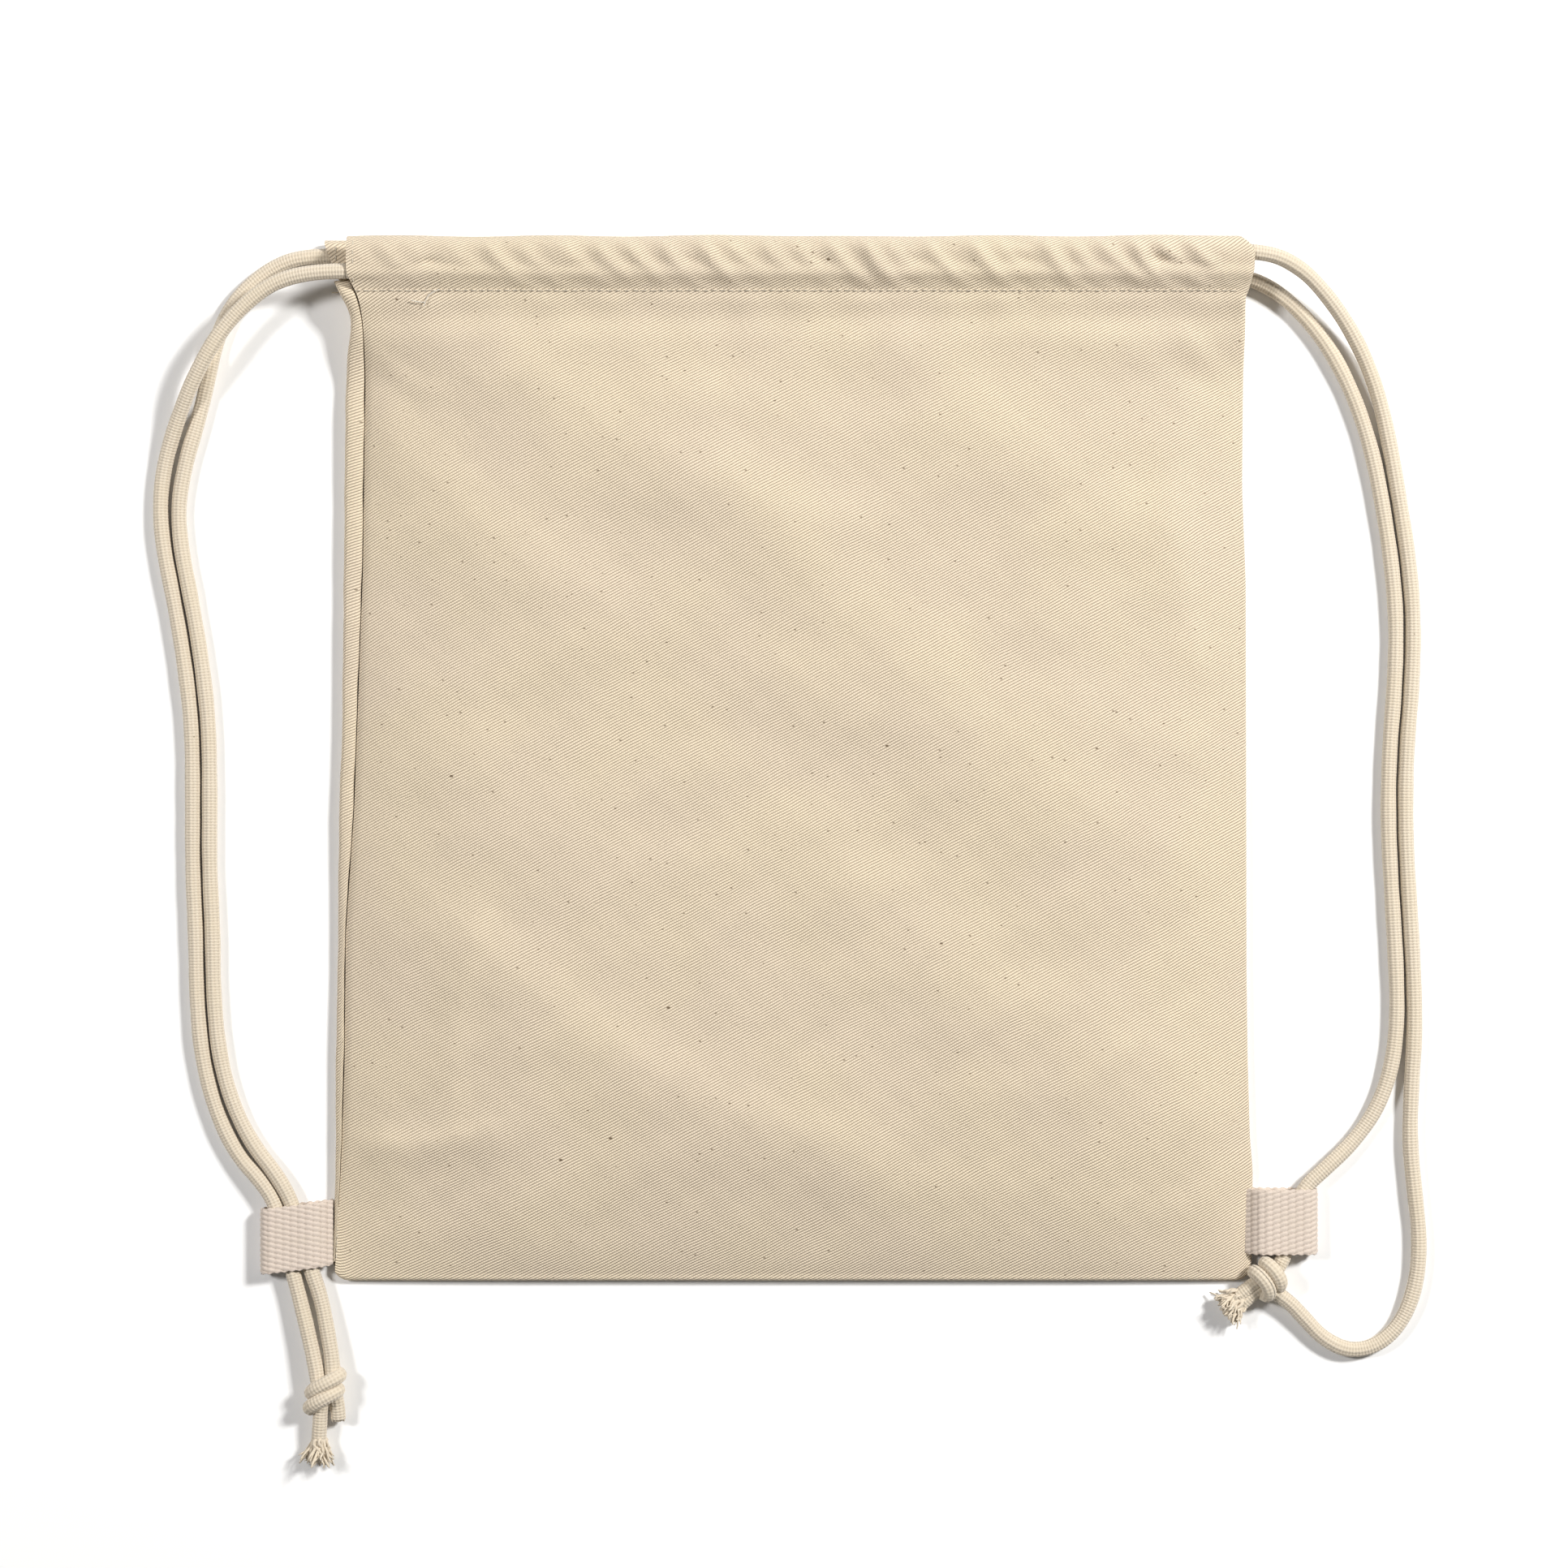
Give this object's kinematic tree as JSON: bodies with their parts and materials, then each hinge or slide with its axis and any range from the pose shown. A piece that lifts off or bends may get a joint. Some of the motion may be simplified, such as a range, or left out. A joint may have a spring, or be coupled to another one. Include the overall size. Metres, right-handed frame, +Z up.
{
  "type": "drawstring backpack",
  "caption": "Flat cotton canvas drawstring backpack with stitched drawcord channels at its mouth, webbing loops at its bottom corners and knotted braided cords as shoulder straps.",
  "frame": {"origin": "on the surface that the bag lies on, below the middle of the bag and its webbing tabs", "axes": "+Z up out of the front panel, +Y towards the mouth, +X towards the side where the cord swings out in a wide loop past its corner tab"},
  "size_m": [0.4895, 0.4702, 0.0219],
  "materials": {
    "canvas": "matte unbleached cotton twill",
    "webbing": "matte chunky cotton webbing",
    "cord": "matte braided cotton cord",
    "sewing_thread": "matte polycotton thread",
    "overlock_thread": "matte fluffy overlock thread"
  },
  "bodies": {
    "bag": {"back_panel": "canvas", "front_panel": "canvas", "back_channel": "canvas", "left_seam_allowance": "canvas", "right_seam_allowance": "canvas", "bottom_seam_allowance": "canvas", "left_overlock_thread": "overlock_thread", "right_overlock_thread": "overlock_thread", "bottom_overlock_thread": "overlock_thread", "back_hem_stitching": "sewing_thread", "back_channel_end_stitching": "sewing_thread", "left_tab_bartack": "sewing_thread", "right_tab_bartack": "sewing_thread", "left_tab": "webbing", "right_tab": "webbing", "left_cord_back_run": "cord", "left_cord_turn": "cord", "left_cord_front_strand": "cord", "left_cord_back_strand": "cord", "right_cord_back_run": "cord", "right_cord_turn": "cord", "right_cord_front_strand": "cord", "right_cord_back_strand": "cord"},
    "front_hem": {"front_channel": "canvas", "front_hem_stitching": "sewing_thread", "front_channel_end_stitching": "sewing_thread", "left_cord_front_run": "cord", "right_cord_front_run": "cord"},
    "left_knot_end": {"left_knot": "cord", "left_cord_ends": "cord"},
    "right_knot_end": {"right_knot": "cord", "right_cord_ends": "cord"}
  },
  "joints": [
    {"name": "mouth_open", "type": "slide", "parent": "bag", "child": "front_hem", "axis": [0, 0, 1], "range_m": [0, 0.035], "deforming": ["front_panel", "left_cord_turn", "right_cord_turn"]},
    {"name": "left_knot_slide", "type": "slide", "parent": "bag", "child": "left_knot_end", "axis": [-0.2901, 0.957, 0], "range_m": [0, 0.034], "deforming": ["left_cord_front_strand", "left_cord_back_strand"]},
    {"name": "right_knot_slide", "type": "slide", "parent": "bag", "child": "right_knot_end", "axis": [-0.2801, -0.96, 0], "range_m": [0, 0.035], "deforming": ["right_cord_front_strand", "right_cord_back_strand"]}
  ]
}
